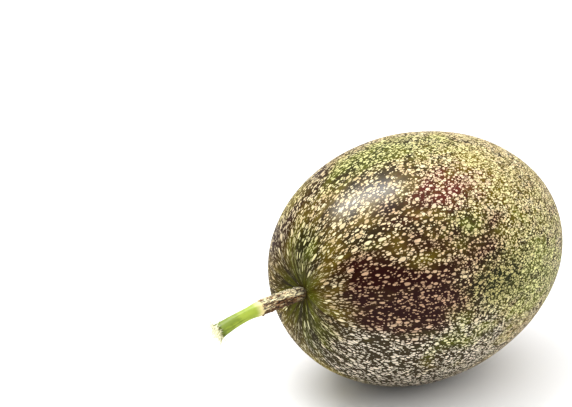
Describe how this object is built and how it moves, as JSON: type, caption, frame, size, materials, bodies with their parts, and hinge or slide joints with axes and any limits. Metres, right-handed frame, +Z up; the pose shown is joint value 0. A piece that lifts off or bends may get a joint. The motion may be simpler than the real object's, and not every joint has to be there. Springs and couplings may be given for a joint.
{
  "type": "passion fruit",
  "caption": "Whole passion fruit lying on its side, with a waxy green and maroon rind full of pale flecks and a short torn stalk.",
  "frame": {"origin": "on the small flat spot that the fruit rests on, under the middle of the fruit", "axes": "+Z up; +X along the fruit's long axis, from the stem end to the blossom end, so the stalk points along -X"},
  "size_m": [0.1036, 0.0609, 0.0625],
  "materials": {
    "rind": "smooth waxy rind, mottled olive green and maroon, covered in small cream flecks",
    "dry_bark": "dry ribbed corky straw-brown bark",
    "green_stem": "smooth fresh yellow-green stem",
    "pale_pith": "torn cream-white pith fibres"
  },
  "bodies": {
    "root": {"fruit": "rind", "dry_stalk": "dry_bark", "green_stalk": "green_stem", "torn_end": "pale_pith"}
  },
  "joints": []
}
